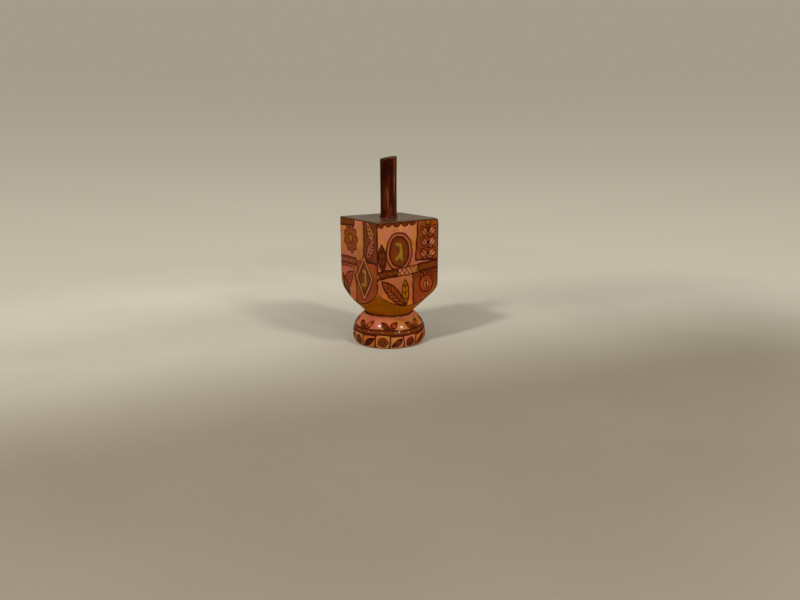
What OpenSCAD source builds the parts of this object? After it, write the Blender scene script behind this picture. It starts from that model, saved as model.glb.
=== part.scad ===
// Painted wooden dreidel on its turned stand.
// A square block with a lathe-turned nose carries a glued-in grip stem and a glued-in spinning
// tip, and stands nose down in the round socket of a bun-shaped stand.
// The origin is the middle of the stand's underside, and +Z is the spinning axis.

/* [Block] */
// Width of the square block, across two opposite painted faces
block_w = 41; // [30:1:56]
// Straight height of the block's corner edges, from the nose's shoulder to the top
wall_h = 34.9; // [24:0.1:60]
// Sanded radius on the block's four upright edges
edge_r = 0.9; // [0.3:0.1:2.5]
// Sanded bevel round the block's top face
top_ease = 0.5; // [0.2:0.1:1.5]

/* [Nose] */
// Slope of the turned nose, measured from the spinning axis
nose_angle = 45.5; // [40:0.5:50]
// Radius of the shoulder that leads from the corner edges into the nose
shoulder_r = 10.5; // [5:0.5:13]
// Diameter of the flat end of the nose, where the tip comes out
nose_end_d = 6.4; // [6:0.1:9]

/* [Stem] */
// Diameter of the grip stem
stem_d = 9.4; // [6:0.1:14]
// Height of the stem above the block, on its axis
stem_h = 33; // [18:0.5:60]
// Length of the stem that is glued into the block
stem_glued = 14; // [8:0.5:20]
// Slope of the stem's hand-cut top
stem_cut = 9.5; // [0:0.5:20]

/* [Spinning tip] */
// Diameter of the tip peg
tip_d = 5; // [3:0.1:5.6]
// How far the tip stands out of the nose
tip_out = 3.2; // [2.9:0.1:4.2]
// Length of the tip that sits in the nose
tip_held = 11; // [6:0.5:16]

/* [Stand] */
// Largest diameter of the stand
stand_d = 42.8; // [38:0.2:60]
// Height of the stand
stand_h = 17.6; // [15:0.1:26]
// Height of the stand's largest diameter
belly_z = 4.5; // [3:0.1:7]
// Diameter of the flat underside
base_d = 40; // [36:0.2:42]
// Outer diameter of the rim at the top of the stand
rim_d = 28.8; // [26:0.1:34]
// Thickness of the rounded rim
rim_w = 1; // [0.6:0.1:2]
// Diameter of the straight socket below the conical seat
socket_d = 17; // [13:0.1:19]
// Thickness of wood left under the socket
socket_floor = 2.6; // [1.5:0.1:3.6]

/* [Fits] */
// Gap between the nose and the seat of the stand
seat_gap = 0.2; // [0.1:0.05:0.4]
// Gap round the stem in its hole, which the glue fills
glue_gap = 0.05; // [0.02:0.01:0.1]
// Gap round the tip in its hole
tip_gap = 0.05; // [0.02:0.01:0.1]
// Air left at the blind end of each glued hole
hole_air = 0.4; // [0.2:0.1:0.8]

/* [Hidden] */
// Overrun of every cut past the wood that it opens
over = 1;
$fn = 96;

// Stand: a full-round rim stands on the end of the side's upper arc
stand_r = stand_d / 2;
rim_round_r = rim_w / 2;
rim_mid_r = rim_d / 2 - rim_round_r;
rim_mid_z = stand_h - rim_round_r;
// Radius of an arc that runs in by inset over the height drop, upright where it starts
function bulge_r(inset, drop) = (drop * drop + inset * inset) / (2 * inset);
side_arc_r = bulge_r(stand_r - rim_d / 2, rim_mid_z - belly_z);
foot_arc_r = bulge_r(stand_r - base_d / 2, belly_z);
// The seat's cone touches the rounded rim here, and its point would lie on the axis
seat_edge_r = rim_mid_r - rim_round_r * cos(nose_angle);
seat_edge_z = rim_mid_z + rim_round_r * sin(nose_angle);
seat_point_z = seat_edge_z - seat_edge_r / tan(nose_angle);
seat_mid_r = (rim_mid_z - seat_point_z) * tan(nose_angle);

// Nose: the same cone, lifted off the seat by the gap between them
nose_point_z = seat_point_z + seat_gap / sin(nose_angle);
nose_end_z = nose_point_z + nose_end_d / 2 / tan(nose_angle);
corner_r = block_w / sqrt(2);
shoulder_mid_r = corner_r - shoulder_r;
shoulder_mid_z = nose_point_z
    + (shoulder_mid_r * cos(nose_angle) + shoulder_r) / sin(nose_angle);
block_top_z = shoulder_mid_z + wall_h;

// Stem and tip holes
stem_hole_z = block_top_z - stem_glued - hole_air;
tip_low_z = nose_end_z - tip_out;
tip_high_z = nose_end_z + tip_held;

// Half outline of what the lathe leaves: a cone, a rounded shoulder and the full block above
module turned_outline() {
    polygon([
        [0, nose_end_z],
        [nose_end_d / 2, nose_end_z],
        [shoulder_mid_r + shoulder_r * cos(nose_angle), shoulder_mid_z - shoulder_r * sin(nose_angle)],
        [shoulder_mid_r, shoulder_mid_z],
        [0, shoulder_mid_z]
    ]);
    translate([shoulder_mid_r, shoulder_mid_z])
        circle(r = shoulder_r);
    translate([0, shoulder_mid_z])
        square([corner_r, wall_h + over]);
}

// Square bar with sanded upright edges, from the nose to the top
module sanded_bar() {
    half_flat = block_w / 2 - edge_r;
    bar_h = block_top_z - nose_end_z;
    translate([0, 0, nose_end_z]) {
        translate([-block_w / 2, -half_flat, 0])
            cube([block_w, 2 * half_flat, bar_h]);
        translate([-half_flat, -block_w / 2, 0])
            cube([2 * half_flat, block_w, bar_h]);
        for (x = [-half_flat, half_flat], y = [-half_flat, half_flat])
            translate([x, y, 0])
                cylinder(r = edge_r, h = bar_h);
    }
}

// Side view of the block with its bevelled top edges, extruded across the block
module eased_side() {
    rotate([90, 0, 0])
        linear_extrude(height = block_w + 2 * over, center = true)
            polygon([
                [-block_w / 2 - over, nose_end_z - over],
                [block_w / 2 + over, nose_end_z - over],
                [block_w / 2 + over, block_top_z - top_ease - over],
                [block_w / 2 - top_ease, block_top_z],
                [-block_w / 2 + top_ease, block_top_z],
                [-block_w / 2 - over, block_top_z - top_ease - over]
            ]);
}

// Painted block: flat faces above, turned nose below, a blind hole at each end
module block() {
    color([0.84, 0.52, 0.36])
        difference() {
            intersection() {
                sanded_bar();
                rotate_extrude() turned_outline();
                eased_side();
                rotate([0, 0, 90]) eased_side();
            }
            translate([0, 0, stem_hole_z])
                cylinder(d = stem_d + 2 * glue_gap, h = block_top_z - stem_hole_z + over);
            translate([0, 0, nose_end_z - over])
                cylinder(d = tip_d + 2 * tip_gap, h = tip_held + hole_air + over);
        }
}

// Grip stem: a stained round stick, cut off by hand at a slight slope that rises towards +X
module stem() {
    color([0.3, 0.13, 0.07])
        difference() {
            translate([0, 0, block_top_z - stem_glued])
                cylinder(d = stem_d, h = stem_glued + stem_h + stem_d);
            translate([0, 0, block_top_z + stem_h])
                rotate([0, -stem_cut, 0])
                    translate([-stem_d, -stem_d, 0])
                        cube([2 * stem_d, 2 * stem_d, 2 * stem_d]);
        }
}

// Spinning tip: a hardwood peg with a ball end, held in the nose
module spinning_tip() {
    color([0.55, 0.36, 0.18]) {
        translate([0, 0, tip_low_z + tip_d / 2])
            sphere(d = tip_d);
        translate([0, 0, tip_low_z + tip_d / 2])
            cylinder(d = tip_d, h = tip_high_z - tip_low_z - tip_d / 2);
    }
}

// Half outline of a solid whose side bulges out to the stand's largest radius at the belly
module bulging_half(arc_r, low_z, high_z) {
    translate([0, low_z])
        square([stand_r - arc_r, high_z - low_z]);
    intersection() {
        translate([stand_r - arc_r, belly_z])
            circle(r = arc_r);
        translate([0, low_z])
            square([stand_r, high_z - low_z]);
    }
}

// Half outline of the bun: belly and foot, less the seat and the socket, with the rim on top
module stand_outline() {
    difference() {
        union() {
            bulging_half(side_arc_r, belly_z, rim_mid_z);
            bulging_half(foot_arc_r, 0, belly_z);
        }
        polygon([[0, seat_point_z], [seat_edge_r, seat_edge_z], [0, seat_edge_z]]);
        translate([0, socket_floor])
            square([socket_d / 2, stand_h - socket_floor]);
    }
    translate([rim_mid_r, rim_mid_z])
        circle(r = rim_round_r);
    polygon([[seat_mid_r, rim_mid_z], [rim_mid_r, rim_mid_z], [seat_edge_r, seat_edge_z]]);
}

// Display stand, turned from one piece of wood
module stand() {
    color([0.8, 0.44, 0.3])
        rotate_extrude() stand_outline();
}

block();
stem();
spinning_tip();
stand();
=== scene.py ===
import logging
import math
from dataclasses import dataclass, field
from enum import Enum
from typing import Protocol

import bpy
import numpy as np
from mathutils import Euler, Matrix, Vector


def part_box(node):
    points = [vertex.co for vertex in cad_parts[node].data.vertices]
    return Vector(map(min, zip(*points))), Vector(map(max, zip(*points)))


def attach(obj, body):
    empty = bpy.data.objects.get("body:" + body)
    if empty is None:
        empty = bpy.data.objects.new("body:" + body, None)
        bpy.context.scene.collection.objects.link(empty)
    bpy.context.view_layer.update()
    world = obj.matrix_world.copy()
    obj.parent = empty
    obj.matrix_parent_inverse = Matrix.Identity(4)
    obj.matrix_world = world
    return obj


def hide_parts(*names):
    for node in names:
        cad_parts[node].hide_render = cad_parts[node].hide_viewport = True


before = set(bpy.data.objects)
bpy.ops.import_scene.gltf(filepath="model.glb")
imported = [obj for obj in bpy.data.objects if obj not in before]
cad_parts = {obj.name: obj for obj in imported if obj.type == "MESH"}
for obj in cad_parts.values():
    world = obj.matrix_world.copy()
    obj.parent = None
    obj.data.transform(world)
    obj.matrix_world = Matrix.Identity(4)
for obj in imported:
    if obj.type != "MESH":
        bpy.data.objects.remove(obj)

log = logging.getLogger("dreidel")
logging.basicConfig(level=logging.INFO, format="%(message)s")

Array = np.ndarray
Point = tuple[float, float]
Place = tuple[float, float, float]
Screen = tuple[int, int, int]
Spots = tuple[Array, Array]
Tones = tuple["Tone", "Tone"]
Socket = bpy.types.NodeSocket
Value = Socket | float | tuple[float, ...] | Array | None

# Lengths are in millimetres up to the meshes and the studio, which are in metres
MM = 0.001
# A distance that is nowhere near
FAR = 50.0
# Half widths of the dark lines
LINE = 0.3
FINE = 0.24
BOLD = 0.37


def linear(colour: Screen) -> Array:
    """Turns a screen colour, from 0 to 255, into the linear one that a shader mixes."""
    share = np.array(colour) / 255.0
    return np.where(share <= 0.04045, share / 12.92, ((share + 0.055) / 1.055) ** 2.4)


def eased(share: Array) -> Array:
    """Returns 3t^2 - 2t^3 of each share, held between 0 and 1."""
    share = np.clip(share, 0.0, 1.0)
    return share * share * (3.0 - 2.0 * share)


class Tone(Enum):
    """Each thin paint, as its screen colour at a shape's rim and at its heart."""

    PEACH = ((147, 80, 40), (172, 108, 68))
    SALMON = ((130, 63, 32), (154, 88, 55))
    APRICOT = ((133, 60, 15), (167, 93, 36))
    ROSE = ((113, 35, 13), (147, 63, 36))
    RUST = ((91, 34, 7), (123, 58, 20))
    BROWN = ((73, 25, 4), (101, 46, 14))
    UMBER = ((50, 12, 2), (76, 26, 6))
    MUSTARD = ((116, 66, 0), (150, 96, 4))
    OLIVE = ((72, 44, 6), (98, 68, 20))

    @property
    def rim(self) -> Array:
        """Linear colour where the paint pools against an outline."""
        return linear(self.value[0])

    @property
    def heart(self) -> Array:
        """Linear colour in the middle of a shape."""
        return linear(self.value[1])


class Letter(Enum):
    """The four game marks, as brush strokes (from, to) in a box one wide and one high."""

    NUN = (((0.28, 0.94), (0.68, 0.94)), ((0.68, 0.94), (0.68, 0.07)), ((0.68, 0.07), (0.14, 0.07)))
    GIMEL = (
        ((0.26, 0.94), (0.62, 0.92)),
        ((0.62, 0.92), (0.72, 0.07)),
        ((0.67, 0.42), (0.22, 0.07)),
    )
    HEY = (((0.08, 0.92), (0.88, 0.92)), ((0.86, 0.92), (0.86, 0.06)), ((0.20, 0.58), (0.18, 0.06)))
    SHIN = (
        ((0.94, 0.92), (0.80, 0.12)),
        ((0.80, 0.12), (0.20, 0.12)),
        ((0.20, 0.12), (0.06, 0.92)),
        ((0.50, 0.90), (0.40, 0.14)),
    )


class Ground(Enum):
    """Outline of the dark ground that carries a letter."""

    OVAL = "oval"
    LOZENGE = "lozenge"


def along(spots: Spots, end: Point) -> tuple[Array, Array, float]:
    """Returns how far spots are along the way to an end and to its left, and its length."""
    (x, y), (ex, ey), length = spots, end, math.hypot(*end)
    return (x * ex + y * ey) / length, (y * ex - x * ey) / length, length


def oval(spots: Spots, half: Point) -> Array:
    """Distance to an oval about the origin: k1(k1 - 1)/k2, with k1 = |(x/a, y/b)| and k2 its slope.

    Args:
        spots: Places across and up.
        half: Half width a and half height b.

    Returns:
        Millimetres to the outline, below 0 inside.
    """
    (x, y), (a, b) = spots, half
    near = np.hypot(x / a, y / b)
    steep = np.hypot(x / a**2, y / b**2)
    return near * (near - 1.0) / np.maximum(steep, 1e-6)


def segment(spots: Spots, a: Point, b: Point) -> Array:
    """Distance to the straight line from a to b, by the nearest point on it.

    Args:
        spots: Places across and up.
        a: First end.
        b: Second end.

    Returns:
        Millimetres to the line.
    """
    x, y = spots[0] - a[0], spots[1] - a[1]
    ux, uy = b[0] - a[0], b[1] - a[1]
    share = np.clip((x * ux + y * uy) / (ux * ux + uy * uy), 0.0, 1.0)
    return np.hypot(x - share * ux, y - share * uy)


def polygon(spots: Spots, corners: list[Point]) -> Array:
    """Distance to a polygon: that to its nearest side, with the sign from the crossings' parity.

    Args:
        spots: Places across and up.
        corners: Corners in order.

    Returns:
        Millimetres to the outline, below 0 inside.
    """
    x, y = spots
    near = np.full(y.shape, FAR)
    sign = np.ones(y.shape)
    for a, b in zip(corners, corners[1:] + corners[:1]):
        near = np.minimum(near, segment(spots, a, b))
        side = (b[0] - a[0]) * (y - a[1]) - (b[1] - a[1]) * (x - a[0])
        under_a, under_b = y < a[1], y < b[1]
        crossed = (under_b & ~under_a & (side > 0)) | (under_a & ~under_b & (side < 0))
        sign = np.where(crossed, -sign, sign)
    return sign * near


def lozenge(spots: Spots, half: Point) -> Array:
    """Distance to a lozenge about the origin, from its half width and half height."""
    wide, high = half
    return polygon(spots, [(wide, 0.0), (0.0, high), (-wide, 0.0), (0.0, -high)])


def leaf_shape(spots: Spots, tip: Point, width: float) -> Array:
    """Distance to a leaf from the origin to its tip: the overlap of two equal discs.

    Args:
        spots: Places across and up.
        tip: Where the leaf ends.
        width: Its greatest width.

    Returns:
        Millimetres to the outline, below 0 inside.
    """
    run, aside, length = along(spots, tip)
    radius = (length**2 + width**2) / (4 * width)
    return np.hypot(run - length / 2, np.abs(aside) + radius - width / 2) - radius


@dataclass
class Canvas:
    """A painted surface, as arrays over its points, in millimetres.

    Attributes:
        across: Place across, as seen from outside.
        up: Place up.
        wash: Linear colour of the paint.
        ink: Distance to the nearest dark line, below 0 on it.
        gilt: Distance to the nearest gold mark, below 0 on it.
        bound: Distance to the edge of the part that may be painted, below 0 inside.
        period: Length after which the surface meets itself, or 0.
    """

    across: Array
    up: Array
    wash: Array
    ink: Array
    gilt: Array
    bound: Array
    period: float = 0.0

    @classmethod
    def blank(cls, across: Array, up: Array, tone: Tone, period: float = 0.0) -> "Canvas":
        """Starts a canvas in one tone, on places that waver as a free hand does.

        Each place strays by the sum of a slow and a quick sine of both places.

        Args:
            across: Place across of each point.
            up: Place up of each point.
            tone: First coat.
            period: Length after which the surface meets itself, or 0.

        Returns:
            The canvas.
        """
        slow, quick = 0.26, 0.11
        turn = across * (2 * math.pi / period if period else 0.05)
        sway = slow * np.sin(0.24 * up + 5 * turn) + quick * np.sin(0.83 * up - 13 * turn)
        lift = slow * np.sin(4 * turn + 1.7) + quick * np.sin(15 * turn + 0.47 * up)
        wash = np.broadcast_to(tone.heart, across.shape + (3,)).copy()
        far = np.full(across.shape, FAR)
        return cls(across + sway, up + lift, wash, far, far.copy(), -far, period)

    def seen_from(self, at: Point) -> Spots:
        """Measures the canvas from a point, the short way round.

        Args:
            at: The point.

        Returns:
            The places across and up from it.
        """
        x = self.across - at[0]
        if self.period:
            x = np.mod(x + self.period / 2, self.period) - self.period / 2
        return x, self.up - at[1]

    def measured(self, start: Point, end: Point) -> tuple[Array, Array, float]:
        """Returns the places along a line and to the left of it, and its length."""
        return along(self.seen_from(start), (end[0] - start[0], end[1] - start[1]))

    def within(self, distance: Array) -> "Canvas":
        """Returns the part of this canvas inside a shape. Both share their paint."""
        bound = np.maximum(self.bound, distance)
        return Canvas(self.across, self.up, self.wash, self.ink, self.gilt, bound, self.period)

    def fill(self, distance: Array, tone: Tone, outline: float = LINE, pool: float = 1.8) -> None:
        """Paints a shape in a tone that darkens towards its rim, and outlines it.

        Args:
            distance: Distance to the shape, below 0 inside.
            tone: Its paint.
            outline: Half width of its dark outline.
            pool: Width of the darker rim.
        """
        distance = np.maximum(distance, self.bound)
        inside = distance < 0
        colour = tone.rim + (tone.heart - tone.rim) * eased(-distance / pool)[..., None]
        np.copyto(self.wash, colour, where=inside[..., None])
        np.copyto(self.ink, FAR, where=inside)
        np.copyto(self.gilt, FAR, where=inside)
        self.stroke(np.abs(distance), outline)

    def tint(self, share: Array, tone: Tone) -> None:
        """Washes a tone over what is inside the bound, by a share from 0 to 1 at each point."""
        share = (eased(share) * (self.bound < 0))[..., None]
        self.wash += (tone.heart - self.wash) * share

    def stroke(self, distance: Array, half_width: float = LINE) -> None:
        """Draws a dark line or spot: all that is nearer to it than half_width."""
        mark = np.maximum(distance - half_width, self.bound)
        np.copyto(self.ink, np.minimum(self.ink, mark))

    def gild(self, distance: Array) -> None:
        """Draws a gold mark: all where the distance is below 0."""
        np.copyto(self.gilt, np.minimum(self.gilt, distance))

    def panel(
        self, corners: list[Point], tone: Tone, outline: float = LINE, at: Point = (0.0, 0.0)
    ) -> "Canvas":
        """Paints a patch with straight sides.

        Args:
            corners: Its corners in order.
            tone: Its paint.
            outline: Half width of its outline.
            at: Point from which the corners are measured.

        Returns:
            The patch as a canvas of its own.
        """
        distance = polygon(self.seen_from(at), corners)
        self.fill(distance, tone, outline)
        return self.within(distance)

    def leaf(self, root: Point, tip: Point, width: float, tone: Tone, veins: int) -> None:
        """Paints a leaf with a midrib and pairs of side veins.

        Args:
            root: Where it springs from.
            tip: Where it ends.
            width: Its greatest width.
            tone: Its paint.
            veins: Number of pairs of side veins.
        """
        run, aside, length = self.measured(root, tip)
        spots = (run, aside)
        distance = leaf_shape(spots, (length, 0.0), width)
        self.fill(distance, tone)
        own = self.within(distance)
        midrib, first_vein, vein_span = 0.84 * length, 0.2 * length, 0.5 * length
        own.stroke(segment(spots, (0.0, 0.0), (midrib, 0.0)), FINE)
        for i in range(veins):
            base = first_vein + vein_span * i / max(veins - 1, 1)
            for side in (-0.35, 0.35):
                own.stroke(segment(spots, (base, 0.0), (base + 0.4 * width, side * width)), FINE)

    def spray(
        self, root: Point, step: Point, pairs: int, reach: Point, width: float, tones: Tones
    ) -> None:
        """Paints a stalk with pairs of leaves.

        Args:
            root: Foot of the stalk.
            step: From one pair to the next.
            pairs: Number of pairs.
            reach: Tip of a right-hand leaf, seen from where it springs.
            width: Greatest width of a leaf.
            tones: Paint of the left and of the right leaves.
        """
        stalk = (step[0] * pairs, step[1] * pairs)
        self.stroke(segment(self.seen_from(root), (0.0, 0.0), stalk))
        for i in range(pairs):
            foot = (root[0] + step[0] * i, root[1] + step[1] * i)
            for side, tone in zip((-1.0, 1.0), tones):
                self.leaf(foot, (foot[0] + side * reach[0], foot[1] + reach[1]), width, tone, 2)

    def fruit(self, at: Point, radius: float, tone: Tone, heart: Tone) -> None:
        """Paints a pomegranate: a round fruit, a crown of three points and a slit with seeds.

        Args:
            at: Its middle.
            radius: Its radius.
            tone: Paint of the skin.
            heart: Paint inside the slit.
        """
        x, y = self.seen_from(at)
        reach, point_width, seed = 1.62 * radius, 0.62 * radius, 0.12 * radius + 0.12
        for turn in (-0.45, 0.0, 0.45):
            tip = (math.sin(turn) * reach, math.cos(turn) * reach)
            self.fill(leaf_shape((x, y), tip, point_width), tone)
        self.fill(np.hypot(x, y) - radius, tone)
        slit = leaf_shape((x, y + 0.72 * radius), (0.12 * radius, 1.3 * radius), 0.85 * radius)
        self.fill(slit, heart, FINE)
        for share in (-0.38, -0.05, 0.28):
            self.stroke(oval((x - 0.06 * radius, y - share * radius), (seed, 1.15 * seed)), 0.0)

    def rosette(self, at: Point, radius: float, petals: int, tone: Tone, core: Tone) -> None:
        """Paints a flower: one petal folded round the middle by its angle, and a round core.

        Args:
            at: Its middle.
            radius: Reach of the petals.
            petals: Number of petals.
            tone: Paint of the petals.
            core: Paint of the core.
        """
        x, y = self.seen_from(at)
        step = 2 * math.pi / petals
        turn = np.mod(np.arctan2(y, x) + step / 2, step) - step / 2
        away = np.hypot(x, y)
        petal_mid, core_r, fullness = 0.6 * radius, 0.3 * radius, 0.82
        half = (radius - petal_mid, fullness * radius * math.sin(step / 2))
        petal = oval((away * np.cos(turn) - petal_mid, away * np.sin(turn)), half)
        self.fill(petal, tone, FINE, 1.0)
        self.fill(away - core_r, core)

    def diamonds(self, at: Point, count: int, step: Point, half: Point, tone: Tone) -> None:
        """Paints a row of lozenges.

        Args:
            at: Middle of the first one.
            count: How many.
            step: From one to the next.
            half: Half width and half height of each.
            tone: Their paint.
        """
        for i in range(count):
            spots = self.seen_from((at[0] + i * step[0], at[1] + i * step[1]))
            self.fill(lozenge(spots, half), tone, FINE, 0.9)

    def zigzag(self, start: Point, end: Point, count: int, height: float) -> None:
        """Draws a zigzag on the left of a line, with teeth |2t - 1| high, where t runs along each.

        Args:
            start: Start of the line.
            end: End of the line.
            count: Number of teeth.
            height: Height of each tooth.
        """
        run, aside, length = self.measured(start, end)
        pitch = length / count
        tooth = height * np.abs(2.0 * np.mod(run / pitch, 1.0) - 1.0)
        off = np.abs(aside - tooth) / math.hypot(1.0, 2.0 * height / pitch)
        self.stroke(np.maximum(off, np.abs(run - length / 2) - length / 2), FINE)

    def scallops(self, start: Point, end: Point, count: int, tones: Tones) -> None:
        """Paints a row of half discs on the left of a line, each with a smaller one in it.

        Args:
            start: Start of the line.
            end: End of the line.
            count: Number of half discs.
            tones: Paint of the half discs and of their hearts.
        """
        run, aside, length = self.measured(start, end)
        pitch = length / count
        away = np.hypot(np.mod(run, pitch) - pitch / 2, aside)
        outside = np.maximum(np.maximum(-run, run - length), -aside)
        for share, tone, outline in zip((0.46, 0.2), tones, (LINE, FINE)):
            self.fill(np.maximum(away - share * pitch, outside), tone, outline)

    def waves(self, start: Point, length: float, count: int = 1) -> None:
        """Draws wavy lines one above the other: y = height/2 sin(2 pi x / pitch).

        Args:
            start: Left end of the lowest line.
            length: Length of each.
            count: How many.
        """
        x, y = self.seen_from(start)
        pitch, height, gap = 5.2, 1.4, 2.8
        slope = math.hypot(1.0, height * math.pi / pitch)
        for i in range(count):
            off = (y - i * gap - height / 2 * np.sin(2 * math.pi * x / pitch)) / slope
            self.stroke(np.maximum(np.abs(off), np.abs(x - length / 2) - length / 2), FINE)

    def letter(self, mark: Letter, at: Point, ground: Ground, half: Point, tones: Tones) -> None:
        """Paints a framed dark ground with a gold letter on it.

        Args:
            mark: The letter.
            at: Middle of the ground.
            ground: Its outline.
            half: Half width and half height of the frame.
            tones: Paint of the frame and of the ground.
        """
        frame_width, soft_corner = 1.9, 1.2
        size, brush = (6.4, 9.0), 0.92
        spots = self.seen_from(at)
        shape = oval(spots, half) if ground is Ground.OVAL else lozenge(spots, half) - soft_corner
        self.fill(shape, tones[0], BOLD)
        self.fill(shape + frame_width, tones[1])
        for ends in mark.value:
            a, b = [((x - 0.5) * size[0], (y - 0.5) * size[1]) for x, y in ends]
            self.gild(segment(spots, a, b) - brush)


def paint_front(c: Canvas) -> None:
    """Paints a branch and a fruit round the letter gimel, on the upper left.

    Args:
        c: Canvas over the face.
    """
    c.tint((c.up - 26) / 16, Tone.PEACH)
    c.tint((16 - c.up) / 12, Tone.APRICOT)
    sky = c.panel([(4.6, 25.4), (21, 24.2), (21, 49), (5.4, 49)], Tone.RUST, BOLD)
    sky.spray((12.8, 25.0), (0.15, 6.2), 3, (5.2, 6.6), 3.9, (Tone.SALMON, Tone.PEACH))
    sky.leaf((13.2, 42.2), (13.0, 48.6), 3.6, Tone.MUSTARD, 1)
    c.scallops((4.6, 47.6), (-20.6, 46.8), 5, (Tone.RUST, Tone.MUSTARD))
    c.leaf((-16.4, 20.0), (-18.0, 35.6), 4.6, Tone.BROWN, 3)
    c.letter(Letter.GIMEL, (-6.4, 31.2), Ground.OVAL, (8.6, 10.4), (Tone.SALMON, Tone.BROWN))
    belt = c.panel([(-21, 16.6), (21, 19.8), (21, 24.4), (-21, 20.6)], Tone.BROWN, BOLD)
    belt.waves((-21, 18.2), 14)
    block = belt.panel([(-7.2, 15.0), (6.2, 16.0), (6.4, 26.0), (-7.4, 25.0)], Tone.PEACH)
    block.zigzag((-7.2, 18.6), (6.2, 19.6), 5, 2.6)
    low = c.panel([(3.4, -2.0), (21, -2.0), (21, 19.8), (2.2, 18.2)], Tone.RUST)
    low.tint((low.up - 8) / 10, Tone.BROWN)
    low.fruit((11.6, 11.2), 4.9, Tone.ROSE, Tone.PEACH)
    c.leaf((-2.6, 0.6), (-18.0, 15.6), 7.0, Tone.RUST, 5)
    c.leaf((-1.6, 0.8), (-2.4, 15.4), 4.6, Tone.MUSTARD, 3)


def paint_left(c: Canvas) -> None:
    """Paints a flower and leaves round the letter nun, on the lower right.

    Args:
        c: Canvas over the face.
    """
    c.tint((c.up - 22) / 18, Tone.PEACH)
    c.panel([(-21, 42.6), (-3.6, 43.6), (-3.4, 49), (-21, 49)], Tone.BROWN)
    c.rosette((-7.8, 36.2), 8.2, 9, Tone.RUST, Tone.MUSTARD)
    post = c.panel([(6.4, 25.6), (21, 25.0), (21, 49), (6.0, 49)], Tone.BROWN, BOLD)
    post.leaf((9.4, 26.4), (17.6, 38.6), 5.8, Tone.SALMON, 4)
    post.leaf((17.4, 34.4), (10.2, 47.4), 5.4, Tone.PEACH, 4)
    belt = c.panel([(-21, 20.4), (-2.0, 21.8), (-2.4, 26.0), (-21, 25.0)], Tone.RUST)
    belt.diamonds((-18.6, 22.7), 5, (3.7, 0.3), (1.2, 1.3), Tone.PEACH)
    low = c.panel([(-2.4, -2.0), (21, -2.0), (21, 25.0), (-1.2, 24.6)], Tone.RUST)
    low.tint((low.up - 16) / 12, Tone.ROSE)
    c.letter(Letter.NUN, (6.6, 15.6), Ground.LOZENGE, (8.2, 11.0), (Tone.PEACH, Tone.BROWN))
    foot = c.panel([(-21, -2.0), (-3.0, -2.0), (-1.4, 9.4), (-5.0, 20.4), (-21, 19.4)], Tone.SALMON)
    foot.leaf((-17.4, 5.4), (-5.8, 17.6), 7.2, Tone.ROSE, 4)
    foot.leaf((-18.4, 14.4), (-9.6, 2.2), 4.4, Tone.OLIVE, 2)


def paint_right(c: Canvas) -> None:
    """Paints a fruit and a flower band round the letter hey, on the left.

    Args:
        c: Canvas over the face.
    """
    c.tint((c.up - 24) / 16, Tone.PEACH)
    band = c.panel([(-21, 38.8), (21, 40.2), (21, 49), (-21, 49)], Tone.BROWN, BOLD)
    for i in range(6):
        band.rosette((-17.6 + 7.0 * i, 43.8 + 0.2 * i), 2.9, 6, Tone.PEACH, Tone.RUST)
    bed = c.panel([(1.6, 12.8), (21, 12.2), (21, 40.2), (2.4, 39.6)], Tone.RUST)
    bed.leaf((12.6, 13.0), (4.6, 33.6), 6.8, Tone.SALMON, 5)
    bed.leaf((12.4, 13.0), (19.0, 31.6), 6.2, Tone.OLIVE, 5)
    bed.fruit((12.4, 32.0), 4.0, Tone.ROSE, Tone.PEACH)
    c.letter(Letter.HEY, (-8.8, 26.6), Ground.OVAL, (8.6, 10.2), (Tone.APRICOT, Tone.BROWN))
    pond = c.panel([(-21, -2.0), (21, -2.0), (21, 12.2), (-21, 13.8)], Tone.ROSE)
    pond.waves((-21, 4.2), 42, 3)


def paint_back(c: Canvas) -> None:
    """Paints a row of fruits and bands round the letter shin, on the upper right.

    Args:
        c: Canvas over the face.
    """
    c.tint((c.up - 26) / 14, Tone.PEACH)
    c.tint((14 - c.up) / 10, Tone.APRICOT)
    post = c.panel([(-21, 19.8), (-6.0, 20.6), (-6.6, 49), (-21, 49)], Tone.RUST, BOLD)
    post.spray((-13.4, 20.8), (0.0, 6.8), 4, (5.6, 7.0), 4.2, (Tone.APRICOT, Tone.PEACH))
    c.letter(Letter.SHIN, (6.8, 33.2), Ground.LOZENGE, (9.2, 11.4), (Tone.SALMON, Tone.BROWN))
    belt = c.panel([(-21, 15.4), (21, 16.8), (21, 20.6), (-21, 19.8)], Tone.BROWN)
    belt.waves((-21, 17.6), 42)
    for i, tone in enumerate((Tone.BROWN, Tone.ROSE, Tone.RUST)):
        c.fruit((-11.4 + 11.2 * i, 7.6 - 1.6 * (i == 1)), 3.7, tone, Tone.PEACH)


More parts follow.
